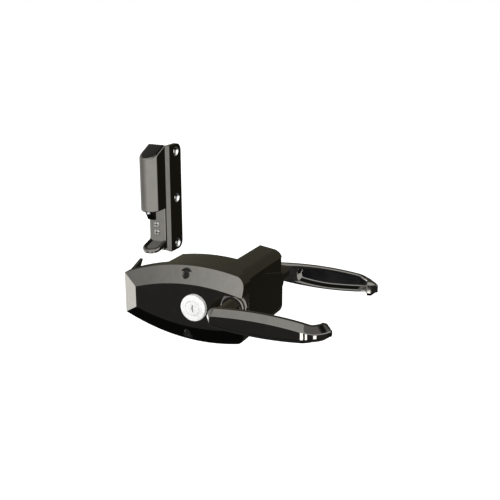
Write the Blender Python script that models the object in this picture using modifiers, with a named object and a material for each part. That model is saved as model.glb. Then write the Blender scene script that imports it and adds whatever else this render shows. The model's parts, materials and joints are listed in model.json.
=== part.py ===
import math

import bmesh
import bpy
from mathutils import Matrix, Vector

MM = 0.001

# Housing: X runs to the lever tips, Y from front to back, Z up.
LEFT = -72.0
COVER_RIGHT = 57.0
RIGHT = 54.5
CROWN_X = 9.3
CROWN_Z = 37.0
CROWN_RADIUS = 196.0
CORNER = 11.4
FRONT_Y = -46.8
BEVEL_Y = -39.5
SPLIT_Y = -27.0
BEVEL_WIDTH = 16.0
GAP = 0.3
WALL = 3.0
NOTCH_X = -30.0
ARM_X = 29.5
ARM_END = 51.5

# Turning parts.
AXIS_X = 41.0
MIRROR_Y = 10.5
LEVER_HALF = 11.6
LEVER_LEFT = -10.0
LEVER_STRAIGHT = 82.0
LEVER_LENGTH = 118.0
CURL_RADIUS = 24.0
LEVER_FACE_Y = -71.5
LEVER_EDGE_Y = -65.0
LEVER_BACK_Y = -61.0
BARREL = 8.0
SPINDLE = 8.0
CAM_REACH = 20.0
CAM_REST = math.radians(-22.5)

# Lock.
LOCK_X = 9.0
LOCK_RADIUS = 12.7
LOCK_FACE_Y = -52.2

# Latch bolt.
BOLT_TIP = -60.5
BOLT_FRONT = -14.0
BOLT_BACK = -8.5
BOLT_HALF = 6.0

# Keeper, standing 63 mm above its working height.
LIFT = 63.0
KEEP_LEFT = -63.0
KEEP_RIGHT = -44.3
FLANGE_IN = -44.0
FLANGE_OUT = -40.0
KEEP_FRONT = -26.6
KEEP_BACK = -4.3
PLUNGER_X = -53.8


def reset():
    for thing in list(bpy.data.objects):
        bpy.data.objects.remove(thing, do_unlink=True)
    for group in list(bpy.data.collections):
        bpy.data.collections.remove(group)


reset()
PARTS = bpy.data.collections.new("stair_gate_latch")
CUTTERS = bpy.data.collections.new("cutters")
bpy.context.scene.collection.children.link(PARTS)
bpy.context.scene.collection.children.link(CUTTERS)


def paint(name, colour, metallic, roughness):
    mat = bpy.data.materials.new(name + "_mat")
    mat.use_nodes = True
    shader = mat.node_tree.nodes["Principled BSDF"]
    shader.inputs["Base Color"].default_value = (*colour, 1.0)
    shader.inputs["Metallic"].default_value = metallic
    shader.inputs["Roughness"].default_value = roughness
    return mat


BLACK = ((0.03, 0.03, 0.03), 0.6, 0.22)
CHROME = ((0.85, 0.85, 0.85), 1.0, 0.12)
STEEL = ((0.45, 0.45, 0.46), 1.0, 0.3)


def make_object(name, bm, group, origin=(0, 0, 0)):
    bm.normal_update()
    bmesh.ops.recalc_face_normals(bm, faces=bm.faces)
    shift = Vector(origin) * MM
    for vert in bm.verts:
        vert.co = vert.co * MM - shift
    mesh = bpy.data.meshes.new(name)
    bm.to_mesh(mesh)
    bm.free()
    thing = bpy.data.objects.new(name, mesh)
    thing.location = shift
    group.objects.link(thing)
    return thing


def part(name, bm, look, origin=(0, 0, 0)):
    thing = make_object(name, bm, PARTS, origin)
    thing.data.materials.append(paint(name, *look))
    return thing


def combine(target, bm, operation):
    cutter = make_object(target.name + "_" + operation.lower(), bm, CUTTERS)
    cutter.display_type = "WIRE"
    cutter.hide_render = True
    step = target.modifiers.new(operation.lower(), "BOOLEAN")
    step.operation = operation
    step.solver = "EXACT"
    step.object = cutter


def cut(target, *shapes):
    for bm in shapes:
        combine(target, bm, "DIFFERENCE")


def join(target, *shapes):
    for bm in shapes:
        combine(target, bm, "UNION")


def soften(target, width, segments=2, angle=40):
    step = target.modifiers.new("soft_edges", "BEVEL")
    step.width = width * MM
    step.segments = segments
    step.limit_method = "ANGLE"
    step.angle_limit = math.radians(angle)
    step.harden_normals = False


def place(plane, a, b, level):
    if plane == "XZ":
        return (a, level, b)
    if plane == "YZ":
        return (level, a, b)
    return (a, b, level)


def loft(rings):
    # Closed body through rings of equal length, for a form with unlike ends.
    bm = bmesh.new()
    rows = [[bm.verts.new(Vector(p)) for p in ring] for ring in rings]
    count = len(rows[0])
    for low, high in zip(rows, rows[1:]):
        for i in range(count):
            j = (i + 1) % count
            bm.faces.new((low[i], low[j], high[j], high[i]))
    bm.faces.new(list(reversed(rows[0])))
    bm.faces.new(rows[-1])
    return bm


def curve_body(name, points, dimensions, cyclic):
    curve = bpy.data.curves.new(name, "CURVE")
    curve.dimensions = dimensions
    spline = curve.splines.new("POLY")
    spline.points.add(len(points) - 1)
    for point, position in zip(spline.points, points):
        point.co = (*position, 1.0)
    spline.use_cyclic_u = cyclic
    return curve


def prism(outline, plane, start, end):
    # A flat outline drawn as a filled curve, given its thickness, then made a mesh.
    curve = curve_body("outline", [(a, b, 0.0) for a, b in outline], "2D", True)
    curve.fill_mode = "BOTH"
    curve.extrude = abs(end - start) / 2
    sheet = bpy.data.objects.new("outline", curve)
    PARTS.objects.link(sheet)
    bpy.context.view_layer.update()
    mesh = bpy.data.meshes.new_from_object(sheet.evaluated_get(bpy.context.evaluated_depsgraph_get()))
    bm = bmesh.new()
    bm.from_mesh(mesh)
    bmesh.ops.remove_doubles(bm, verts=bm.verts, dist=0.001)
    bpy.data.objects.remove(sheet, do_unlink=True)
    bpy.data.meshes.remove(mesh)
    middle = (start + end) / 2
    for vert in bm.verts:
        vert.co = Vector(place(plane, vert.co.x, vert.co.y, middle + vert.co.z))
    return bm


def box(x, y, z):
    bm = bmesh.new()
    size = (x[1] - x[0], y[1] - y[0], z[1] - z[0])
    middle = ((x[0] + x[1]) / 2, (y[0] + y[1]) / 2, (z[0] + z[1]) / 2)
    bmesh.ops.create_cube(bm, size=1.0, matrix=Matrix.Translation(middle) @ Matrix.Diagonal((*size, 1.0)))
    return bm


def rod(plane, a, b, radius, start, end, count=32):
    bm = bmesh.new()
    bmesh.ops.create_cone(bm, cap_ends=True, segments=count, radius1=radius, radius2=radius,
                          depth=abs(end - start))
    middle = (start + end) / 2
    for vert in bm.verts:
        vert.co = Vector(place(plane, a + vert.co.x, b + vert.co.y, middle + vert.co.z))
    return bm


def turned_part(name, x, z, profile, count, look, closed=False):
    # Profile of (radius, level) pairs, turned about a line along Y through (x, z).
    mesh = bpy.data.meshes.new(name)
    points = list(profile)
    if not closed:
        points = [(0.0, profile[0][1])] + points + [(0.0, profile[-1][1])]
    points.reverse()
    edges = [(i, i + 1) for i in range(len(points) - 1)]
    if closed:
        edges.append((len(points) - 1, 0))
    mesh.from_pydata([(radius * MM, 0.0, level * MM) for radius, level in points], edges, [])
    thing = bpy.data.objects.new(name, mesh)
    thing.location = (x * MM, 0.0, z * MM)
    thing.rotation_euler = (-math.pi / 2, 0.0, 0.0)
    PARTS.objects.link(thing)
    mesh.materials.append(paint(name, *look))
    step = thing.modifiers.new("turn", "SCREW")
    step.axis = "Z"
    step.steps = count
    step.render_steps = count
    step.use_merge_vertices = True
    step.merge_threshold = 0.00001
    step.use_smooth_shade = True
    return thing


def coil_part(name, points, radius, look, origin):
    local = [[(p - o) * MM for p, o in zip(point, origin)] for point in points]
    curve = curve_body(name, local, "3D", False)
    curve.bevel_depth = radius * MM
    curve.bevel_resolution = 2
    curve.use_fill_caps = True
    curve.materials.append(paint(name, *look))
    thing = bpy.data.objects.new(name, curve)
    thing.location = Vector(origin) * MM
    PARTS.objects.link(thing)
    return thing


def round_corner(a, b, radius, start, count=6):
    # Quarter circle about (a, b), anticlockwise from the given angle in degrees.
    first = math.radians(start)
    return [(a + radius * math.cos(first + math.pi / 2 * i / count),
             b + radius * math.sin(first + math.pi / 2 * i / count)) for i in range(count + 1)]


# The housing outline: two shallow arcs, blunt on the left, rounded on the right.

def crown(x):
    return CROWN_Z - (x - CROWN_X) ** 2 / (2 * CROWN_RADIUS)


def boat(inset, left, right, steps=28):
    xs = [left + (right - left) * i / steps for i in range(steps + 1)]
    top = [(x, crown(x) - inset) for x in xs]
    bottom = [(x, inset - crown(x)) for x in reversed(xs)]
    return top + bottom


def rounded_boat(inset, left, right, corner, steps=22):
    turn_x = right - corner
    middle = crown(turn_x) - inset - corner
    xs = [left + (turn_x - left) * i / steps for i in range(steps + 1)]
    top = [(x, crown(x) - inset) for x in xs]
    arc = [(turn_x + corner * math.sin(math.pi / 16 * i),
            middle + corner * math.cos(math.pi / 16 * i)) for i in range(1, 9)]
    half = top + arc
    return half + [(x, -z) for x, z in reversed(half)]


def mouth(radius, end):
    # Bay open to the right, round on the left about the lever axis.
    arc = [(AXIS_X - radius * math.sin(math.pi * i / 20), radius * math.cos(math.pi * i / 20))
           for i in range(21)]
    return arc + [(end, -radius), (end, radius)]


def boat_ring(level, inset, left, right):
    return [(x, level, z) for x, z in boat(inset, left, right)]


SCREW_X = -2.0
SCREW_Z = 28.6


def front_cover():
    body = loft([
        boat_ring(SPLIT_Y, 0.0, LEFT, COVER_RIGHT + 2),
        boat_ring(BEVEL_Y, 0.0, LEFT, COVER_RIGHT + 2),
        boat_ring(FRONT_Y, BEVEL_WIDTH, LEFT + 16.4, COVER_RIGHT + 2),
    ])
    cover = part("front_cover", body, BLACK)
    combine(cover, prism(rounded_boat(0.0, LEFT - 2, COVER_RIGHT, CORNER), "XZ", -60, 0), "INTERSECT")
    cut(cover, loft([
        boat_ring(SPLIT_Y + 1, WALL, LEFT + WALL, 22.5),
        boat_ring(BEVEL_Y + 1.5, WALL, LEFT + WALL, 22.5),
        boat_ring(FRONT_Y + WALL, BEVEL_WIDTH + 1.2, LEFT + 18.2, 22.5),
    ]))
    join(cover, *[rod("XZ", SCREW_X, side * SCREW_Z, 6.2, BEVEL_Y - 2.4, SPLIT_Y, 28) for side in (1, -1)])
    cut(cover, prism(mouth(15.6, COVER_RIGHT + 6), "XZ", -60, -20))
    for side in (1, -1):
        cut(cover, rod("XZ", SCREW_X, side * SCREW_Z, 3.7, -50, BEVEL_Y, 28))
        cut(cover, rod("XZ", SCREW_X, side * SCREW_Z, 2.4, -50, -20, 20))
    cut(cover, rod("XZ", LOCK_X, 0, 11.0, -60, -36, 36))
    # Thin guard at the blunt end, running back beside the keeper and up to a point.
    edge = crown(LEFT) - 0.15
    guard = [(SPLIT_Y - 2, -edge), (-17.0, -edge), (-17.0, 14.0), (-14.5, 20.0), (-10.6, 25.6),
             (-11.4, 26.4), (SPLIT_Y - 2, edge)]
    join(cover, prism(guard, "YZ", LEFT + 0.05, LEFT + 2.8))


def case():
    shell = prism(rounded_boat(0.0, NOTCH_X, RIGHT, CORNER), "XZ", SPLIT_Y + GAP, ARM_END)
    body = part("case", shell, BLACK)
    cut(body, box((NOTCH_X - 9, ARM_X), (0.0, ARM_END + 9), (-50, 50)))
    hollow = rounded_boat(WALL, NOTCH_X + WALL, RIGHT - WALL, CORNER - WALL, 18)
    cut(body, prism(hollow, "XZ", -23.8, -WALL))
    cut(body, prism(boat(WALL + 0.6, NOTCH_X + WALL + 0.6, 21.5, 16), "XZ", -30, -WALL - 1))
    hollow = rounded_boat(WALL + 0.6, ARM_X + 2.2, RIGHT - WALL - 0.3, CORNER - WALL, 6)
    cut(body, prism(hollow, "XZ", -WALL - 1, ARM_END - 4))
    # Bosses for the cover screws and a raised bed under the bolt.
    join(body, *[rod("XZ", SCREW_X, side * SCREW_Z, 5.6, SPLIT_Y + GAP, -1.5, 28) for side in (1, -1)])
    join(body, box((NOTCH_X + 6, -6.0), (BOLT_BACK + GAP, -1.5), (-6.8, 6.8)))
    for side in (1, -1):
        cut(body, rod("XZ", SCREW_X, side * SCREW_Z, 2.3, -40, -12, 20))
        cut(body, rod("XZ", -13.0, side * 15.5, 1.8, -10, 5, 16))
        cut(body, rod("XZ", 14.0, side * 24.0, 2.6, -10, 5, 20))
    # Bolt window, spindle bearings.
    cut(body, box((NOTCH_X - 5, NOTCH_X + 5), (BOLT_FRONT - 0.4, BOLT_BACK + 0.4), (-6.4, 6.4)))
    cut(body, rod("XZ", AXIS_X, 0, BARREL + 0.35, -40, -20, 36))
    cut(body, rod("XZ", AXIS_X, 0, BARREL + 0.35, ARM_END - 10, ARM_END + 5, 36))
    # Shallow pocket in the end of the arm.
    pocket = [(9.0, 22.0), (ARM_END + 2, 10.0), (ARM_END + 2, 27.0), (9.0, 27.0)]
    cut(body, prism(pocket, "YZ", RIGHT - 1.6, RIGHT + 5))


def cover_screws():
    for name, side in (("cover_screw_upper", 1), ("cover_screw_lower", -1)):
        z = side * SCREW_Z
        profile = [(2.9, BEVEL_Y - 2.8), (3.3, BEVEL_Y - 2.4), (3.3, BEVEL_Y - GAP),
                   (2.0, BEVEL_Y - GAP), (2.0, -13.5)]
        screw = turned_part(name, SCREW_X, z, profile, 24, STEEL)
        cut(screw, rod("XZ", SCREW_X, z, 1.7, -45, BEVEL_Y - 1.4, 6))


def rose(name, sign, base):
    # Stepped collar round a lever barrel, standing on the casting.
    steps = [(13.3, 0.3), (13.3, 3.2), (12.6, 4.2), (11.8, 4.2), (11.8, 7.4), (11.0, 8.2),
             (BARREL + 0.35, 8.2), (BARREL + 0.35, 0.3)]
    profile = [(radius, base + sign * level) for radius, level in steps]
    if sign < 0:
        profile.reverse()
    turned_part(name, AXIS_X, 0, profile, 40, BLACK, closed=True)


def lever_half(s):
    # Widest 40 mm out, then tapering to an even width just before the tip.
    return LEVER_HALF - (0.0012 if s < 40.0 else 0.0014) * (min(s, 95.0) - 40.0) ** 2


def lever_half_outline(inset_share, inset_most, shift=0.0):
    # Upper half of the blade outline, from the hub end to the tip.
    end = LEVER_LENGTH
    tip_round = 4.0
    nose = 7.5
    start = LEVER_LEFT + nose
    shoulder = lever_half(start)
    raw = [(start - nose * math.cos(math.pi / 2 * i / 8), shoulder * math.sin(math.pi / 2 * i / 8))
           for i in range(8)]
    count = 40
    stations = [start + (end - tip_round - start) * i / count for i in range(count + 1)]
    raw += [(s, lever_half(s)) for s in stations]
    edge = lever_half(end - tip_round)
    raw += [(end - tip_round + tip_round * math.sin(math.pi / 2 * i / 4),
             edge - tip_round + tip_round * math.cos(math.pi / 2 * i / 4)) for i in range(1, 5)]
    points = []
    for i, (s, w) in enumerate(raw):
        a = raw[max(i - 1, 0)]
        b = raw[min(i + 1, len(raw) - 1)]
        ds, dw = b[0] - a[0], b[1] - a[1]
        if i == 0:
            ds, dw = 0.0, 1.0
        if i == len(raw) - 1:
            ds, dw = 0.0, -1.0
        size = math.hypot(ds, dw)
        inset = min(inset_most, inset_share * max(lever_half(s), 1.0))
        s_new = s + inset * dw / size
        w_new = max(w - inset * ds / size, 0.0)
        if shift and s_new < 60.0:
            s_new = shift + (s_new - LEVER_LEFT) * (60.0 - shift) / (60.0 - LEVER_LEFT)
        points.append((s_new, w_new))
    return points


def bend(s, y, z):
    # Bend the blade back in a plan-view arc beyond its straight length.
    if s <= LEVER_STRAIGHT:
        return (AXIS_X + s, y, z)
    angle = (s - LEVER_STRAIGHT) / CURL_RADIUS
    centre_y = LEVER_FACE_Y + CURL_RADIUS
    reach = centre_y - y
    return (AXIS_X + LEVER_STRAIGHT + reach * math.sin(angle), centre_y - reach * math.cos(angle), z)


def lever_bmesh(rear):
    layers = [
        (lever_half_outline(0.48, 5.0), LEVER_FACE_Y),
        (lever_half_outline(0.0, 0.0), LEVER_EDGE_Y),
        (lever_half_outline(0.0, 0.0), LEVER_BACK_Y - 0.6),
        (lever_half_outline(0.05, 0.5), LEVER_BACK_Y),
        (lever_half_outline(0.25, 2.1, 15.0), LEVER_BACK_Y),
        (lever_half_outline(0.30, 2.7, 15.4), LEVER_FACE_Y + 3.4),
    ]
    bm = bmesh.new()
    rows = []
    for outline, y in layers:
        upper = [bm.verts.new(bend(s, y, w)) for s, w in outline]
        lower = [bm.verts.new(bend(s, y, -w)) for s, w in outline[1:]]
        rows.append((upper, [upper[0]] + lower))
    for (up_a, low_a), (up_b, low_b) in zip(rows, rows[1:]):
        for i in range(len(up_a) - 1):
            bm.faces.new((up_a[i], up_a[i + 1], up_b[i + 1], up_b[i]))
            bm.faces.new((low_a[i + 1], low_a[i], low_b[i], low_b[i + 1]))
        bm.faces.new((up_a[-1], low_a[-1], low_b[-1], up_b[-1]))
    for up, low in (rows[0], rows[-1]):
        bm.faces.new((up[0], up[1], low[1]))
        for i in range(1, len(up) - 1):
            bm.faces.new((up[i], up[i + 1], low[i + 1], low[i]))
    if rear:
        for vert in bm.verts:
            vert.co.y = 2 * MIRROR_Y - vert.co.y
    return bm


def lever(name, rear, inner_end):
    def swap(y):
        return 2 * MIRROR_Y - y if rear else y
    thing = part(name, lever_bmesh(rear), BLACK, (AXIS_X, 0, 0))
    join(thing, rod("XZ", AXIS_X, 0, BARREL, swap(LEVER_BACK_Y - 2), inner_end, 36))
    half = SPINDLE / 2 + GAP
    square = [(AXIS_X - half, -half), (AXIS_X + half, -half), (AXIS_X + half, half), (AXIS_X - half, half)]
    deep = swap(LEVER_FACE_Y + 4.5)
    cut(thing, prism(square, "XZ", deep, inner_end + (inner_end - deep) * 0.2))
    cut(thing, rod("XY", AXIS_X, swap(-55.0), 2.3, -20, 0, 16))


def rose_and_levers():
    rose("front_rose", -1, SPLIT_Y + GAP)
    rose("rear_rose", 1, ARM_END)
    lever("front_lever", False, -21.0)
    lever("rear_lever", True, ARM_END - 6.4)
    bar = box((AXIS_X - SPINDLE / 2, AXIS_X + SPINDLE / 2),
              (LEVER_FACE_Y + 5, 2 * MIRROR_Y - LEVER_FACE_Y - 5), (-SPINDLE / 2, SPINDLE / 2))
    part("spindle", bar, STEEL, (AXIS_X, 0, 0))
    for name, start in (("front_circlip", -23.4), ("rear_circlip", ARM_END - 5.4)):
        ring = [(8.25, start), (9.2, start), (9.2, start + 1.0), (8.25, start + 1.0)]
        clip = turned_part(name, AXIS_X, 0, ring, 32, STEEL, closed=True)
        cut(clip, box((AXIS_X - 1.2, AXIS_X + 1.2), (start - 1, start + 2), (-14, -5)))
    for name, y in (("front_grub_screw", -55.0), ("rear_grub_screw", 2 * MIRROR_Y + 55.0)):
        grub = part(name, rod("XY", AXIS_X, y, 1.95, -7.9, -SPINDLE / 2 - 0.15, 16), STEEL, (AXIS_X, 0, 0))
        cut(grub, rod("XY", AXIS_X, y, 0.9, -10, -6.4, 6))


def cam():
    # Plate crank keyed to the spindle, with a pin that stands in the bolt's fork.
    pin_x = AXIS_X + CAM_REACH * math.sin(CAM_REST)
    pin_z = CAM_REACH * math.cos(CAM_REST)
    body = part("cam", rod("XZ", AXIS_X, 0, 8.8, -20.5, -14.6, 32), STEEL, (AXIS_X, 0, 0))
    across = Vector((math.cos(CAM_REST), -math.sin(CAM_REST)))
    base = [(AXIS_X + across.x * 5.5 * k, across.y * 5.5 * k) for k in (-1, 1)]
    tip = [(pin_x + across.x * 3.6 * k, pin_z + across.y * 3.6 * k) for k in (1, -1)]
    join(body, prism(base + tip, "XZ", -20.3, -14.8))
    join(body, rod("XZ", pin_x, pin_z, 3.6, -20.5, -14.6, 24))
    join(body, rod("XZ", pin_x, pin_z, 2.0, -17.0, BOLT_BACK + 0.8, 20))
    half = SPINDLE / 2 + GAP
    cut(body, box((AXIS_X - half, AXIS_X + half), (-25, -10), (-half, half)))


def return_spring():
    points = [(AXIS_X + 7.2, 3.0, -9.0), (AXIS_X + 7.2, 3.0, -3.0)]
    turns, per_turn, start, pitch = 6, 16, 3.0, 2.4
    for i in range(turns * per_turn + 1):
        angle = 2 * math.pi * i / per_turn
        points.append((AXIS_X + 7.2 * math.cos(angle), start + pitch * i / per_turn, 7.2 * math.sin(angle)))
    last = points[-1]
    points += [(last[0], last[1], 4.0), (last[0], last[1], 9.0)]
    coil_part("return_spring", points, 0.75, STEEL, (AXIS_X, 0, 0))


def latch_bolt():
    fork_in, fork_out = 30.9, 35.8
    outline = [(BOLT_TIP, -BOLT_HALF), (23, -BOLT_HALF), (23, 9.5), (38, 9.5), (38, 24), (fork_out, 24),
               (fork_out, 14.5), (fork_in, 14.5), (fork_in, 24), (17, 24), (17, BOLT_HALF),
               (BOLT_TIP, BOLT_HALF)]
    bolt = part("latch_bolt", prism(outline, "XZ", BOLT_FRONT, BOLT_BACK), STEEL, (0, 0, 0))
    soften(bolt, 0.5, 1)


def bolt_retainer():
    profile = [(-19.5, -3.3), (-7.2, -3.3), (-7.2, -14.4), (7.2, -14.4), (7.2, -3.3), (19.5, -3.3),
               (19.5, -5.4), (9.4, -5.4), (9.4, -16.6), (-9.4, -16.6), (-9.4, -5.4), (-19.5, -5.4)]
    outline = [(y, z) for z, y in profile]
    return part("bolt_retainer", prism(outline, "YZ", -18.0, -8.0), STEEL)


def retainer_screws(bridge):
    for name, side in (("retainer_screw_upper", 1), ("retainer_screw_lower", -1)):
        cut(bridge, rod("XZ", -13.0, side * 15.5, 1.8, -10, 0, 16))
        profile = [(2.4, -7.6), (3.0, -7.0), (3.0, -5.7), (1.5, -5.7), (1.5, -0.4)]
        screw = turned_part(name, -13.0, side * 15.5, profile, 20, STEEL)
        cut(screw, box((-15.0, -11.0), (-9, -6.9), (side * 15.5 - 0.4, side * 15.5 + 0.4)))


def lock():
    shell = [(LOCK_RADIUS - 1.4, LOCK_FACE_Y), (LOCK_RADIUS - 0.4, LOCK_FACE_Y + 0.4),
             (LOCK_RADIUS, LOCK_FACE_Y + 1.4), (LOCK_RADIUS, FRONT_Y - GAP), (10.6, FRONT_Y - GAP),
             (10.6, -24.0)]
    housing = turned_part("lock_housing", LOCK_X, 0, shell, 48, CHROME)
    cut(housing, rod("XZ", LOCK_X, 0, 7.3, -60, -20, 36))
    core = [(7.0, LOCK_FACE_Y), (7.0, -24.0), (4.0, -24.0), (4.0, -22.6)]
    plug = turned_part("key_plug", LOCK_X, 0, core, 36, CHROME)
    cut(plug, box((LOCK_X - 0.8, LOCK_X + 0.8), (LOCK_FACE_Y - 2, -30.0), (-3.6, 3.6)))
    cut(plug, box((LOCK_X - 1.5, LOCK_X - 0.5), (LOCK_FACE_Y - 2, -30.0), (-1.0, 1.4)))
    cut(plug, rod("XZ", LOCK_X, 0, 1.8, -28.0, -20.0, 16))
    nut = [(11.0, -43.1), (12.1, -43.1), (12.1, -39.6), (11.0, -39.6)]
    turned_part("lock_nut", LOCK_X, 0, nut, 32, STEEL, closed=True)
    # Tail plate with its pin, carried by the key plug.
    pin = 8.0 * math.sqrt(0.5)
    tail = part("tail_cam", rod("XZ", LOCK_X, 0, 5.0, -22.3, -20.0, 28), STEEL, (LOCK_X, 0, 0))
    join(tail, prism([(LOCK_X - 2.4, 2.4), (LOCK_X + 2.4, -2.4), (LOCK_X + pin + 2.0, pin - 2.0),
                      (LOCK_X + pin - 2.0, pin + 2.0)], "XZ", -22.2, -20.1))
    join(tail, rod("XZ", LOCK_X + pin, pin, 2.8, -22.3, -20.0, 20))
    join(tail, rod("XZ", LOCK_X + pin, pin, 1.8, -21.5, -16.6, 16))
    cut(tail, rod("XZ", LOCK_X, 0, 1.8, -25, -15, 16))
    screw = [(1.5, -27.0), (1.5, -19.7), (3.0, -19.7), (3.0, -18.6), (2.5, -18.2)]
    turned_part("tail_screw", LOCK_X, 0, screw, 20, STEEL)


def d_outline(inset=0.0):
    # Plan of the catch: flat back, two round front corners.
    left, right = KEEP_LEFT + inset, KEEP_RIGHT - inset
    front, back = KEEP_FRONT + inset, KEEP_BACK - inset
    radius = 8.8 - inset
    return ([(right, back), (left, back)] + round_corner(left + radius, front + radius, radius, 180)
            + round_corner(right - radius, front + radius, radius, 270))


def slanted(outline, low, high, low_slope, high_slope):
    # Prism between two planes that rise to the back by the given slopes.
    rings = []
    for base, slope in ((low, low_slope), (high, high_slope)):
        rings.append([(x, y, base + slope * (y - KEEP_BACK)) for x, y in outline])
    return loft(rings)


def countersink(y, z, small, large):
    # Cone on the flange's outer face, a little past it so that the cut is clean.
    bm = bmesh.new()
    depth = large - small + 0.5
    bmesh.ops.create_cone(bm, cap_ends=True, segments=24, radius1=small, radius2=large + 0.5, depth=depth)
    for vert in bm.verts:
        vert.co = Vector((FLANGE_OUT + 0.5 - depth / 2 + vert.co.z, y + vert.co.x, z + vert.co.y))
    return bm


def keeper():
    # Angle bracket: rounded side flange and the leg behind the catch.
    low, high, deep, radius = 35.0, 139.7, 18.0, 7.6
    outline = ([(-4.0, high), (-4.0, low)] + round_corner(deep - radius, low + radius, radius, 270)
               + round_corner(deep - radius, high - radius, radius, 0))
    bracket = part("keeper_bracket", prism(outline, "YZ", FLANGE_IN, FLANGE_OUT), BLACK)
    join(bracket, box((KEEP_LEFT + 1.0, FLANGE_IN + 1.5), (-4.0, 0.0), (low + 0.6, high - 0.8)))
    for z in (41.3, 86.9, 132.5):
        cut(bracket, rod("YZ", 8.6, z, 3.1, -60, -30, 24))
        cut(bracket, countersink(8.6, z, 3.1, 4.5))
    # Catch: hood, back plate and ramp shelf in one casting.
    catch = part("keeper_catch", slanted(d_outline(), 78.4, 140.4, 0.0, 0.48), BLACK)
    join(catch, box((KEEP_LEFT + 0.6, KEEP_RIGHT - 0.4), (-7.0, KEEP_BACK), (44.0, 80.0)))
    join(catch, slanted(d_outline(0.3), 41.0, 48.0, 0.16, 0.30))
    cut(catch, prism(d_outline(2.6), "XY", 70.0, 126.0))
    for name, z in (("keeper_screw_upper", 61.8), ("keeper_screw_lower", 54.2)):
        cut(catch, rod("XZ", PLUNGER_X, z, 1.8, -12, 5, 16))
        cut(bracket, rod("XZ", PLUNGER_X, z, 1.8, -12, 5, 16))
        profile = [(2.6, -8.4), (3.0, -8.0), (3.0, -7.3), (1.5, -7.3), (1.5, -0.5)]
        screw = turned_part(name, PLUNGER_X, z, profile, 20, STEEL)
        cut(screw, box((PLUNGER_X - 4, PLUNGER_X + 4), (-9, -7.9), (z - 0.4, z + 0.4)))
        cut(screw, box((PLUNGER_X - 0.4, PLUNGER_X + 0.4), (-9, -7.9), (z - 4, z + 4)))


def plunger():
    # Spring plunger with a lead-in slope on its front, and the pin in its nose.
    left, right, front, back = PLUNGER_X - 3.9, PLUNGER_X + 3.9, -22.4, -14.6
    outline = [(back, 69.0), (back, 96.0), (front, 96.0), (front, 78.5), (front + 5.4, 69.0)]
    body = part("keeper_plunger", prism(outline, "YZ", left, right), BLACK, (PLUNGER_X, 0, 0))
    cut(body, rod("XY", PLUNGER_X, (front + back) / 2, 2.9, 84.0, 100.0, 20))
    cut(body, rod("XZ", PLUNGER_X, 77.0, 1.7, -30, -17, 16))
    turned_part("plunger_pin", PLUNGER_X, 77.0, [(0.8, -23.0), (1.4, -22.6), (1.4, -17.3)], 16, CHROME)
    points = []
    turns, per_turn, start, end = 9, 14, 85.0, 125.0
    for i in range(turns * per_turn + 1):
        angle = 2 * math.pi * i / per_turn
        z = start + (end - start) * i / (turns * per_turn)
        points.append((PLUNGER_X + 2.0 * math.cos(angle), (front + back) / 2 + 2.0 * math.sin(angle), z))
    coil_part("keeper_spring", points, 0.42, STEEL, (PLUNGER_X, (front + back) / 2, 125.4))


front_cover()
case()
cover_screws()
rose_and_levers()
cam()
return_spring()
latch_bolt()
retainer_screws(bolt_retainer())
lock()
keeper()
plunger()
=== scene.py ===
import json
import math

import bmesh
import bpy
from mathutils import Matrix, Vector

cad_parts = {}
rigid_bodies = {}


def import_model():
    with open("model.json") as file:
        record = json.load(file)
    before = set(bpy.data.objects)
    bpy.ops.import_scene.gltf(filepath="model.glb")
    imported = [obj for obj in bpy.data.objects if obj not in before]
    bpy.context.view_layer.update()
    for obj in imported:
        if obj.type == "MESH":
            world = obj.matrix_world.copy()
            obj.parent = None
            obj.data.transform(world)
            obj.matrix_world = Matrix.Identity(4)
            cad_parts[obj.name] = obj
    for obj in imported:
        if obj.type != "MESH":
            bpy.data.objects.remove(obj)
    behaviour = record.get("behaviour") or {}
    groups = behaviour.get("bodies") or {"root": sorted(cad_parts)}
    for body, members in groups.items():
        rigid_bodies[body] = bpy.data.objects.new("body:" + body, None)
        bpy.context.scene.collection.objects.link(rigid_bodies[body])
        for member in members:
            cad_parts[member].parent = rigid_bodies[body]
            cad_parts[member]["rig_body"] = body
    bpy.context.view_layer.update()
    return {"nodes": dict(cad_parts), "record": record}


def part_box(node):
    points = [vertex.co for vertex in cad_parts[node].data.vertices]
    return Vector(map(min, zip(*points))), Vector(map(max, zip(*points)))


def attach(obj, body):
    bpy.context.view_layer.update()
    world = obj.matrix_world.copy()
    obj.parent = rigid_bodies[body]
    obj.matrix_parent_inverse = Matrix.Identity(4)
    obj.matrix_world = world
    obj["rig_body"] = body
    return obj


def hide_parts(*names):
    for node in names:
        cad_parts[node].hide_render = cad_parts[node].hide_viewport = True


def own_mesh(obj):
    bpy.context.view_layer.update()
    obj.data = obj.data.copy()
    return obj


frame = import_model()
NODES = frame["nodes"]
SLOTS = {s["node"]: s["material_slot"] for s in frame["record"]["subparts"]}
TO_MM, TO_M = 1000, 0.001


# Materials: every look is a small node tree, patterned in object space.

def tree(name):
    mat = bpy.data.materials.new(name)
    mat.use_nodes = True
    nodes = mat.node_tree.nodes
    return mat, nodes, mat.node_tree.links, nodes["Principled BSDF"]


def noise(nodes, links, scale, detail=3.0, stretch=None):
    place = nodes.new("ShaderNodeTexCoord")
    out = nodes.new("ShaderNodeTexNoise")
    out.inputs["Scale"].default_value = scale
    out.inputs["Detail"].default_value = detail
    if stretch:
        mapping = nodes.new("ShaderNodeMapping")
        mapping.inputs["Scale"].default_value = stretch
        links.new(place.outputs["Object"], mapping.inputs["Vector"])
        links.new(mapping.outputs["Vector"], out.inputs["Vector"])
    else:
        links.new(place.outputs["Object"], out.inputs["Vector"])
    return out.outputs["Fac"]


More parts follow.
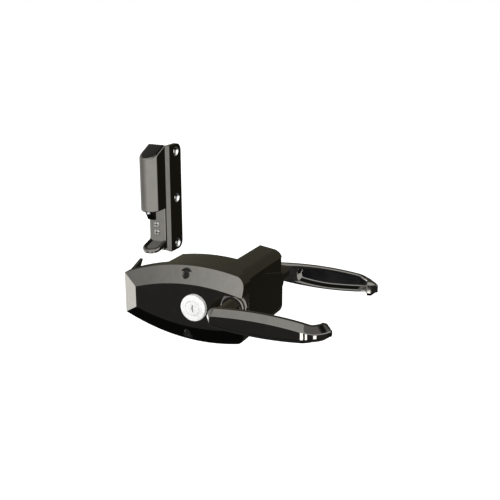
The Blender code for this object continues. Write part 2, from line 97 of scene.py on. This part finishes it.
def ramp(nodes, links, value, low, high, start=0.3, end=0.7):
    # Low up to the start value, high from the end value on.
    out = nodes.new("ShaderNodeMapRange")
    out.inputs["From Min"].default_value = start
    out.inputs["From Max"].default_value = end
    out.inputs["To Min"].default_value = low
    out.inputs["To Max"].default_value = high
    links.new(value, out.inputs["Value"])
    return out.outputs["Result"]


def blend_colour(nodes, links, fac, first, second):
    out = nodes.new("ShaderNodeMix")
    out.data_type = "RGBA"
    out.inputs["A"].default_value = (*first, 1)
    out.inputs["B"].default_value = (*second, 1)
    links.new(fac, out.inputs["Factor"])
    return out.outputs["Result"]


def edge_wear(nodes, links):
    # Patchy wear along sharp outer edges.
    geometry = nodes.new("ShaderNodeNewGeometry")
    worn = ramp(nodes, links, geometry.outputs["Pointiness"], 0.0, 0.8, 0.54, 0.64)
    patch = ramp(nodes, links, noise(nodes, links, 140.0), 0.0, 1.0, 0.42, 0.62)
    both = nodes.new("ShaderNodeMath")
    both.operation = "MULTIPLY"
    links.new(worn, both.inputs[0])
    links.new(patch, both.inputs[1])
    return both.outputs["Value"]


def bump(nodes, links, shader, height, strength, distance):
    out = nodes.new("ShaderNodeBump")
    out.inputs["Strength"].default_value = strength
    out.inputs["Distance"].default_value = distance
    links.new(height, out.inputs["Height"])
    links.new(out.outputs["Normal"], shader.inputs["Normal"])


def metal(name, dark, light, rough, grain, stretch=None, strength=0.08, coat=0.0, patch=38.0, worn=None):
    # Plated metal: cloudy colour, worn edges, uneven polish, fine surface texture.
    mat, nodes, links, shader = tree(name)
    cloud = ramp(nodes, links, noise(nodes, links, patch, 4.0), 0.0, 1.0)
    base = blend_colour(nodes, links, cloud, dark, light)
    if worn:
        mix = nodes.new("ShaderNodeMix")
        mix.data_type = "RGBA"
        links.new(base, mix.inputs["A"])
        mix.inputs["B"].default_value = (*worn, 1)
        links.new(edge_wear(nodes, links), mix.inputs["Factor"])
        base = mix.outputs["Result"]
    links.new(base, shader.inputs["Base Color"])
    links.new(ramp(nodes, links, noise(nodes, links, 75.0, 5.0), *rough), shader.inputs["Roughness"])
    shader.inputs["Metallic"].default_value = 1.0
    shader.inputs["Coat Weight"].default_value = coat
    shader.inputs["Coat Roughness"].default_value = 0.04
    bump(nodes, links, shader, noise(nodes, links, grain, 3.0, stretch), strength, 0.0002)
    return mat


def bright_plate():
    # Pale satin plating with fine turned rings.
    mat, nodes, links, shader = tree("satin_bright_plate")
    cloud = ramp(nodes, links, noise(nodes, links, 60.0, 3.0), 0.0, 1.0)
    links.new(blend_colour(nodes, links, cloud, (0.86, 0.86, 0.855), (0.95, 0.95, 0.945)),
              shader.inputs["Base Color"])
    links.new(ramp(nodes, links, noise(nodes, links, 240.0, 4.0), 0.22, 0.34), shader.inputs["Roughness"])
    shader.inputs["Metallic"].default_value = 0.25
    shader.inputs["Coat Weight"].default_value = 0.4
    bump(nodes, links, shader, noise(nodes, links, 700.0, 2.0, (1.0, 0.1, 1.0)), 0.06, 0.0001)
    return mat


# One look for each material slot, then three that cover part of a piece or a few screws: black oxide that is
# also painted shade in screw recesses, painted shade for the lever hollows, and a painted highlight for
# countersinks.
LOOKS = {
    "black_casting": metal("black_chrome", (0.138, 0.133, 0.12), (0.151, 0.146, 0.133), (0.045, 0.075),
                           900.0, strength=0.015, coat=0.1, patch=160.0),
    "plated_steel": metal("zinc_steel", (0.36, 0.36, 0.35), (0.5, 0.49, 0.47), (0.22, 0.38),
                          900.0, stretch=(1.0, 0.12, 1.0), strength=0.15, worn=(0.62, 0.61, 0.59)),
    "spring_steel": metal("spring_wire", (0.22, 0.22, 0.225), (0.33, 0.33, 0.33), (0.25, 0.4),
                          1200.0, strength=0.12, worn=(0.45, 0.45, 0.45)),
    "chrome_plate": bright_plate(),
}
# Black oxide finish of the cover screws, also used as painted shade in the keeper screws' recesses.
DARK_SCREW_AND_RECESS_SHADE = metal("black_oxide_and_recess_shade", (0.025, 0.025, 0.025), (0.04, 0.039, 0.037), (0.2, 0.32),
                   1100.0, strength=0.1, worn=(0.5, 0.49, 0.47))
# Painted shade: a near-black look for the floor of the levers' hollows.
HOLLOW_SHADE = metal("painted_hollow_shade", (0.005, 0.005, 0.006), (0.014, 0.014, 0.014), (0.25, 0.4),
                   700.0, strength=0.2)
# Pale metal painted onto countersink faces as a painted highlight.
COUNTERSINK_HIGHLIGHT = metal("painted_countersink_highlight", (0.8, 0.8, 0.79), (0.92, 0.92, 0.9), (0.3, 0.42), 1500.0)


# Visible pieces, each in place of one CAD node and on its body.

def new_piece(mesh, node):
    thing = bpy.data.objects.new(node + "_skin", mesh)
    bpy.context.scene.collection.objects.link(thing)
    thing.visible_glossy = False    # narrow gaps stay readable: pieces reflect the studio only
    return thing


def stand_in(thing, node):
    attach(thing, NODES[node]["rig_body"])
    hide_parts(node)


def smooth(mesh, sharp_angle):
    mesh.polygons.foreach_set("use_smooth", [True] * len(mesh.polygons))
    mesh.set_sharp_from_angle(angle=math.radians(sharp_angle))


def even_normals(thing):
    step = thing.modifiers.new("even_normals", "WEIGHTED_NORMAL")
    step.keep_sharp = True


def skin(node, width, segments, sharp_angle, look):
    # A finer body over a CAD solid: planar faces cleaned up, edges rounded, normals smoothed.
    same_point, flat_degrees, sliver = 0.00001, 0.4, 0.00006
    bm = bmesh.new()
    bm.from_mesh(NODES[node].data)
    bmesh.ops.remove_doubles(bm, verts=bm.verts, dist=same_point)
    bmesh.ops.dissolve_limit(bm, angle_limit=math.radians(flat_degrees), verts=bm.verts, edges=bm.edges)
    bmesh.ops.dissolve_degenerate(bm, dist=sliver, edges=bm.edges)
    mesh = bpy.data.meshes.new(node + "_skin")
    bm.to_mesh(mesh)
    bm.free()
    mesh.materials.clear()
    mesh.materials.append(look)
    smooth(mesh, sharp_angle)
    piece = new_piece(mesh, node)
    step = piece.modifiers.new("round_edges", "BEVEL")
    step.width = width * TO_M
    step.segments = segments
    step.limit_method = "ANGLE"
    step.angle_limit = math.radians(sharp_angle)
    step.harden_normals = True
    even_normals(piece)
    stand_in(piece, node)
    return piece


def join_rings(rings):
    # Rings of points in mm, all of one count, joined by quads. Gives the mesh and its rows of points.
    bm = bmesh.new()
    rows = [[bm.verts.new([c * TO_M for c in point]) for point in ring] for ring in rings]
    count = len(rows[0])
    for low, high in zip(rows, rows[1:]):
        for i in range(count):
            j = (i + 1) % count
            bm.faces.new((low[i], low[j], high[j], high[i]))
    return bm, rows


def shell(rings, close_start=True):
    bm, rows = join_rings(rings)
    if close_start:
        bm.faces.new(list(reversed(rows[0])))
    bm.faces.new(rows[-1])
    bmesh.ops.recalc_face_normals(bm, faces=bm.faces)
    return bm


def piece_from(shells, node, sharp_angle):
    whole = bmesh.new()
    for bm in shells:
        mesh = bpy.data.meshes.new("loose_shell")
        bm.to_mesh(mesh)
        bm.free()
        whole.from_mesh(mesh)
        bpy.data.meshes.remove(mesh)
    mesh = bpy.data.meshes.new(node + "_skin")
    whole.to_mesh(mesh)
    whole.free()
    mesh.materials.append(LOOKS[SLOTS[node]])
    smooth(mesh, sharp_angle)
    thing = new_piece(mesh, node)
    even_normals(thing)
    stand_in(thing, node)
    return thing


# Castings drawn afresh, in mm, because they show most.

def quarter(radius, steps):
    # (inset, drop) pairs round a quarter circle, from the side up to the top.
    turns = [math.pi / 2 * i / steps for i in range(steps + 1)]
    return [(radius * (1 - math.cos(turn)), radius * (1 - math.sin(turn))) for turn in turns]


def hood_outline(low, high, inset):
    # Square at the back, where it meets the plate, and well rounded at the front.
    left, right = low[0] + inset, high[0] - inset
    front, back = low[1] + inset, high[1] - 0.25 * inset
    wide = max(8.8 - inset, 0.3)
    tight = max(0.4 - inset, 0.15)
    corners = ((left + tight, back - tight, tight, 90, 5), (left + wide, front + wide, wide, 180, 14),
               (right - wide, front + wide, wide, 270, 14), (right - tight, back - tight, tight, 0, 5))
    points = []
    for x, y, radius, start, count in corners:
        for i in range(count + 1):
            angle = math.radians(start + 90 * i / count)
            points.append((x + radius * math.cos(angle), y + radius * math.sin(angle)))
    return points


def catch():
    node = "keeper_catch"
    low, high = (v * TO_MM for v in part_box(node))
    foot, top, back = low.z, high.z, high.y

    def ring(inset, height, slope=0.0):
        # The height is that of the back edge.
        return [(x, y, height + slope * (y - back)) for x, y in hood_outline(low, high, inset)]

    # Hood: rounded rim, upright sides, sloping top with a rounded edge, open below.
    rim, roof_slope = foot + 40.9, 0.48
    rings = [ring(inset, rim + drop) for inset, drop in reversed(quarter(1.0, 4))]
    rings += [ring(0, rim + 1.0 + (top - foot - 55.5) * share) for share in (0.33, 0.66)]
    rings += [ring(inset, top - drop, roof_slope) for inset, drop in quarter(2.2, 7)]
    hood = shell(rings, close_start=False)
    hollow = shell([ring(1.0, rim), ring(2.2, rim), ring(2.6, rim + 0.5), ring(2.6, top - 12.0)],
                   close_start=False)
    bmesh.ops.reverse_faces(hollow, faces=hollow.faces)

    # Back plate, with a swept foot that flows into the shelf.
    left, right, cut = low.x + 0.5, high.x - 0.4, 0.8
    bevel = cut * 0.3
    plate_rings = []
    for height, depth in ((1.0, 7.5), (4.5, 6.6), (6.5, 4.6), (8.5, 3.4),
                          (10.6, 2.8), (14, 2.6), (26, 2.6), (44, 2.6)):
        front = back - depth
        outline = ((left, back), (left, front + cut), (left + bevel, front + bevel), (left + cut, front),
                   (right - cut, front), (right - bevel, front + bevel), (right, front + cut), (right, back))
        plate_rings.append([(x, y, foot + height) for x, y in outline])
    plate = shell(plate_rings)

    # Ramp shelf: dished top inside a rounded lip.
    under, under_slope, lip, lip_slope, margin = foot + 3.4, 0.16, foot + 10.3, 0.30, 0.3
    shelf_rings = [ring(margin + inset, under + drop, under_slope)
                   for inset, drop in reversed(quarter(1.2, 4))]
    dish = [(2.0, 0.1), (2.6, 0.5), (3.2, 0.9), (4.6, 1.1)]
    shelf_rings += [ring(margin + inset, lip - drop, lip_slope) for inset, drop in quarter(1.3, 6) + dish]
    piece_from([hood, hollow, plate, shell(shelf_rings)], node, 38)


def blade(rear):
    # Lever blade in fine rings: crowned bevels outside, a dished back with a sloping wall inside.
    # It is laid out along s, from the lever's axis to its tip, and the rear one is the mirror image.
    node = "rear_lever" if rear else "front_lever"
    axis_x, mirror_y = 41.0, 10.5
    nose_end, length = -10.0, 118.0
    straight, curl_radius = 82.0, 24.0
    face, edge, back = -71.5, -65.0, -61.0

    def flip(y):
        return 2 * mirror_y - y if rear else y

    def half(s):
        # Half the blade's width: widest at 40 mm from the axis, and constant beyond 95 mm.
        return 11.6 - (0.0012 if s < 40 else 0.0014) * (min(s, 95.0) - 40.0) ** 2

    def outline(inset, wall_start):
        # One side from the blunt nose to the rounded tip, then its mirror. A wall start draws the
        # near part of the ring up to where the hollow begins.
        nose, tip, wall_reach = 7.5, 3.4, 60
        nose_steps, side_steps, tip_steps = 12, 72, 6
        start, tip_start = nose_end + nose, length - tip
        points = []
        for i in range(nose_steps):
            angle = math.pi / 2 * i / nose_steps
            points.append((start - nose * math.cos(angle), half(start) * math.sin(angle)))
        for i in range(side_steps + 1):
            s = start + (tip_start - start) * i / side_steps
            points.append((s, half(s)))
        wide = half(tip_start)
        for i in range(1, tip_steps + 1):
            angle = math.pi / 2 * i / tip_steps
            points.append((tip_start + tip * math.sin(angle), wide - tip + tip * math.cos(angle)))
        side, last = [], len(points) - 1
        for i, (s, w) in enumerate(points):
            if 0 < i < last:
                along, across = points[i + 1][0] - points[i - 1][0], points[i + 1][1] - points[i - 1][1]
            else:
                along, across = 0, (1 if i == 0 else -1)
            size = math.hypot(along, across)
            new_s, new_w = s + inset * across / size, max(w - inset * along / size, 0.02)
            if wall_start and new_s < wall_reach:
                share = (wall_reach - wall_start) / (wall_reach - nose_end)
                new_s = wall_start + (new_s - nose_end) * share
            side.append((new_s, new_w))
        return side + [(s, -w) for s, w in reversed(side)]

    def bend(s, y, z):
        # Straight first, then round the curl towards the front.
        if s <= straight:
            return (axis_x + s, flip(y), z)
        angle = (s - straight) / curl_radius
        centre = face + curl_radius
        reach = centre - y
        return (axis_x + straight + reach * math.sin(angle), flip(centre - reach * math.cos(angle)), z)

    # (inset, y, wall start) of each ring, from the front face over the edge and down into the hollow.
    layers = [(5.6, face, 0), (5.1, face + 0.12, 0), (4.75, face + 0.45, 0)]
    layers += [(4.75 - 4.45 * k, face + 0.45 + (edge - face - 0.75) * k, 0) for k in (0.33, 0.66, 1.0)]
    layers += [(0.12, edge - 0.05, 0), (0.0, edge + 0.35, 0), (0.0, back - 0.7, 0), (0.2, back - 0.2, 0),
               (0.7, back, 0), (2.0, back, 15.0), (2.35, back - 0.25, 15.0), (2.6, back - 0.7, 15.1),
               (4.4, face + 5.2, 15.4), (4.9, face + 4.7, 15.6), (5.4, face + 4.6, 15.8)]
    rings = [[bend(s, y, w) for s, w in outline(inset, start)] for inset, y, start in layers]
    bm, rows = join_rings(rings)
    # Flat caps are strips across the blade, so that they follow the curl. The second is the hollow's floor,
    # which gets the near-black painted shade.
    count = len(rows[0])
    for row, finish in ((rows[0], 0), (rows[-1], 1)):
        for i in range(count // 2 - 1):
            strip = bm.faces.new((row[i], row[i + 1], row[count - 2 - i], row[count - 1 - i]))
            strip.material_index = finish
    bmesh.ops.recalc_face_normals(bm, faces=bm.faces)

    # Round neck, from inside the blade to the lever's inner end, with a small chamfer there.
    end, chamfer = (45.1, -0.4) if rear else (-21.0, 0.4)
    sides = 64
    turns = [2 * math.pi * i / sides for i in range(sides)]
    neck = [[(axis_x + radius * math.cos(turn), y, radius * math.sin(turn)) for turn in turns]
            for radius, y in ((7.6, flip(back - 3)), (8.0, flip(back - 2.6)), (8.0, flip(back + 1.2)),
                              (8.0, end - chamfer), (7.6, end))]
    thing = piece_from([bm, shell(neck)], node, 50)
    # Second look: painted shade for the hollow's floor.
    thing.data.materials.append(HOLLOW_SHADE)


def coil(node):
    # Spring wire as modelled, smooth shaded. The keeper's spring gets a mesh of its own.
    mesh = NODES[node].data.copy()
    mesh.name = node + "_skin"
    mesh.materials.clear()
    mesh.materials.append(LOOKS[SLOTS[node]])
    mesh.polygons.foreach_set("use_smooth", [True] * len(mesh.polygons))
    thing = new_piece(mesh, node)
    stand_in(thing, node)
    if node == "keeper_spring":
        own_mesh(thing)


def paint_countersink_highlight(piece, node):
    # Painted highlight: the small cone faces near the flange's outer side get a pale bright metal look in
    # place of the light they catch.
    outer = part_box(node)[1].x * TO_MM
    piece.data.materials.append(COUNTERSINK_HIGHLIGHT)
    for face in piece.data.polygons:
        if 0.3 < face.normal.x < 0.95 and face.center.x * TO_MM > outer - 1.6 and face.area < 2e-6:
            face.material_index = 1


def paint_recess_shade(piece, node):
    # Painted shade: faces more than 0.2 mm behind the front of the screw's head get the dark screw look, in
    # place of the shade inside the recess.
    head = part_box(node)[0].y
    piece.data.materials.append(DARK_SCREW_AND_RECESS_SHADE)
    for face in piece.data.polygons:
        if face.center.y > head + 0.0002:
            face.material_index = 1


# Widths of the rounded edges in mm, for the pieces that show, and the fold in degrees that counts
# as an edge. The cover's lower bevel has a seam of 24.5 degrees, so its limit is smaller.
ROUNDING = {"front_cover": 0.45, "case": 0.6, "keeper_bracket": 0.45, "front_rose": 0.3, "rear_rose": 0.3,
            "lock_housing": 0.25, "key_plug": 0.12, "keeper_plunger": 0.3}
SMALL_ROUNDING = 0.15
SHARP_ANGLE = {"front_cover": 21}
USUAL_SHARP_ANGLE = 28

catch()
blade(rear=False)
blade(rear=True)
for node in sorted(NODES):
    if node in ("keeper_catch", "front_lever", "rear_lever"):
        continue
    if node in ("return_spring", "keeper_spring"):
        coil(node)
        continue
    piece = skin(node, ROUNDING.get(node, SMALL_ROUNDING), 3 if node in ROUNDING else 2,
                 SHARP_ANGLE.get(node, USUAL_SHARP_ANGLE),
                 DARK_SCREW_AND_RECESS_SHADE if node.startswith("cover_screw") else LOOKS[SLOTS[node]])
    if node == "keeper_bracket":
        paint_countersink_highlight(piece, node)
    if node.startswith("keeper_screw"):
        # The keeper screws' recesses get painted shade.
        paint_recess_shade(piece, node)


# Studio: pale floor, a soft wrap of light that is bright in front and grey above.

def studio_world():
    world = bpy.data.worlds.new("studio")
    bpy.context.scene.world = world
    world.use_nodes = True
    nodes, links = world.node_tree.nodes, world.node_tree.links
    shader = nodes["Background"]
    place = nodes.new("ShaderNodeTexCoord")
    split = nodes.new("ShaderNodeSeparateXYZ")
    links.new(place.outputs["Generated"], split.inputs["Vector"])
    x, y, z = (split.outputs[axis] for axis in "XYZ")

    def step(socket, start, end, low, high):
        out = ramp(nodes, links, socket, low, high, start, end)
        out.node.interpolation_type = "SMOOTHSTEP"
        return out

    def combine(operation, *values):
        out = nodes.new("ShaderNodeMath")
        out.operation = operation
        for i, value in enumerate(values):
            if isinstance(value, (int, float)):
                out.inputs[i].default_value = value
            else:
                links.new(value, out.inputs[i])
        return out.outputs["Value"]

    def times(first, second):
        return combine("MULTIPLY", first, second)

    # A pale wall in front, from the table line up, that fades high above and to the left.
    front = step(y, 0.4, 0.7, 1.0, 0.0)
    high_or_front = combine("MAXIMUM", step(z, 0.68, 0.8, 1.0, 0.0), step(y, 0.12, 0.25, 1.0, 0.0))
    wall = times(step(z, -0.299, -0.289, 0.0, 1.8), times(step(z, 0.55, 0.85, 1.0, 0.25), high_or_front))
    glow = times(times(front, wall), step(x, -0.85, -0.15, 0.42, 1.0))
    # Grey light from above.
    top = times(step(z, 0.6, 0.74, 0.0, 0.37),
                times(step(x, -0.5, -0.4, 0.15, 1.0), step(y, 0.12, 0.25, 1.0, 0.0)))
    glow = combine("MAXIMUM", glow, top)
    # A white card low on the left.
    card = times(step(x, -0.8, -0.6, 3.0, 0.0),
                 times(step(z, -0.5, -0.4, 0.0, 1.0), step(z, -0.27, -0.24, 1.0, 0.0)))
    glow = combine("MAXIMUM", glow, card)
    # Three narrow strips low in front, each at its own turn round Z.
    turn = combine("ARCTAN2", x, times(y, -1.0))
    low_band = times(step(z, -0.46, -0.43, 0.0, 1.0), step(z, -0.345, -0.33, 1.0, 0.0))
    for middle, half_width in ((-0.17, 0.12), (0.16, 0.08), (0.79, 0.12)):
        offset = combine("ABSOLUTE", combine("SUBTRACT", turn, middle))
        strip = step(offset, half_width * 0.8, half_width, 8.0, 0.0)
        glow = combine("ADD", glow, times(strip, low_band))
    # A weak glow behind, and a weaker one in front that fades towards the floor.
    rear = times(step(y, 0.1, 0.4, 0.0, 1.0),
                 times(step(z, -0.1, 0.15, 0.04, 0.14), step(z, 0.5, 0.65, 1.0, 0.25)))
    near = times(step(y, 0.1, 0.4, 1.0, 0.0), step(z, -0.75, -0.45, 0.015, 0.1))
    glow = combine("ADD", combine("ADD", glow, rear), near)

    # Matt surfaces get an even light, the background is white, and reflections of the back are olive.
    path = nodes.new("ShaderNodeLightPath")
    mixed = nodes.new("ShaderNodeMix")
    links.new(path.outputs["Is Diffuse Ray"], mixed.inputs["Factor"])
    links.new(glow, mixed.inputs["A"])
    mixed.inputs["B"].default_value = 0.9
    seen = nodes.new("ShaderNodeMix")
    links.new(path.outputs["Is Camera Ray"], seen.inputs["Factor"])
    links.new(mixed.outputs["Result"], seen.inputs["A"])
    seen.inputs["B"].default_value = 1.0
    links.new(seen.outputs["Result"], shader.inputs["Strength"])
    behind = times(step(y, 0.6, 0.8, 0.0, 1.0), path.outputs["Is Glossy Ray"])
    links.new(blend_colour(nodes, links, behind, (1.0, 1.0, 1.0), (1.0, 0.96, 0.7)), shader.inputs["Color"])


def fill_light():
    position = Vector((-0.3, -0.5, 1.2))
    light = bpy.data.lights.new("fill_above", "AREA")
    light.shape = "RECTANGLE"
    light.size, light.size_y = 1.2, 0.9
    light.energy = 3.3
    thing = bpy.data.objects.new("fill_above", light)
    thing.location = position
    thing.rotation_euler = (-position).to_track_quat("-Z", "Y").to_euler()
    bpy.context.scene.collection.objects.link(thing)


def floor():
    bm = bmesh.new()
    bmesh.ops.create_grid(bm, x_segments=8, y_segments=8, size=6.0)
    mesh = bpy.data.meshes.new("studio_floor")
    bm.to_mesh(mesh)
    bm.free()
    thing = bpy.data.objects.new("studio_floor", mesh)
    thing.location = (0.0, 0.0, -0.35)
    mat, nodes, links, shader = tree("pale_floor")
    shader.inputs["Roughness"].default_value = 0.9
    tone = ramp(nodes, links, noise(nodes, links, 3.0), 0.0, 1.0)
    links.new(blend_colour(nodes, links, tone, (0.93, 0.93, 0.93), (0.96, 0.96, 0.96)),
              shader.inputs["Base Color"])
    shader.inputs["Emission Color"].default_value = (1.0, 1.0, 1.0, 1.0)
    shader.inputs["Emission Strength"].default_value = 0.35
    mesh.materials.append(mat)
    bpy.context.scene.collection.objects.link(thing)
    thing.visible_glossy = False


def camera():
    azimuth, elevation, distance = math.radians(25.58), math.radians(16.84), 0.837
    target = Vector((0.043, 0.0, 0.0466))
    back = Vector((math.sin(azimuth) * math.cos(elevation), -math.cos(azimuth) * math.cos(elevation),
                   math.sin(elevation)))
    lens = bpy.data.cameras.new("camera")
    lens.sensor_width = 36.0
    lens.lens = 64.08
    lens.clip_start = 0.01
    thing = bpy.data.objects.new("camera", lens)
    thing.location = target + back * distance
    thing.rotation_euler = (-back).to_track_quat("-Z", "Y").to_euler()
    bpy.context.scene.collection.objects.link(thing)
    bpy.context.scene.camera = thing


studio_world()
fill_light()
floor()
camera()
bpy.context.scene.view_settings.view_transform = "Standard"
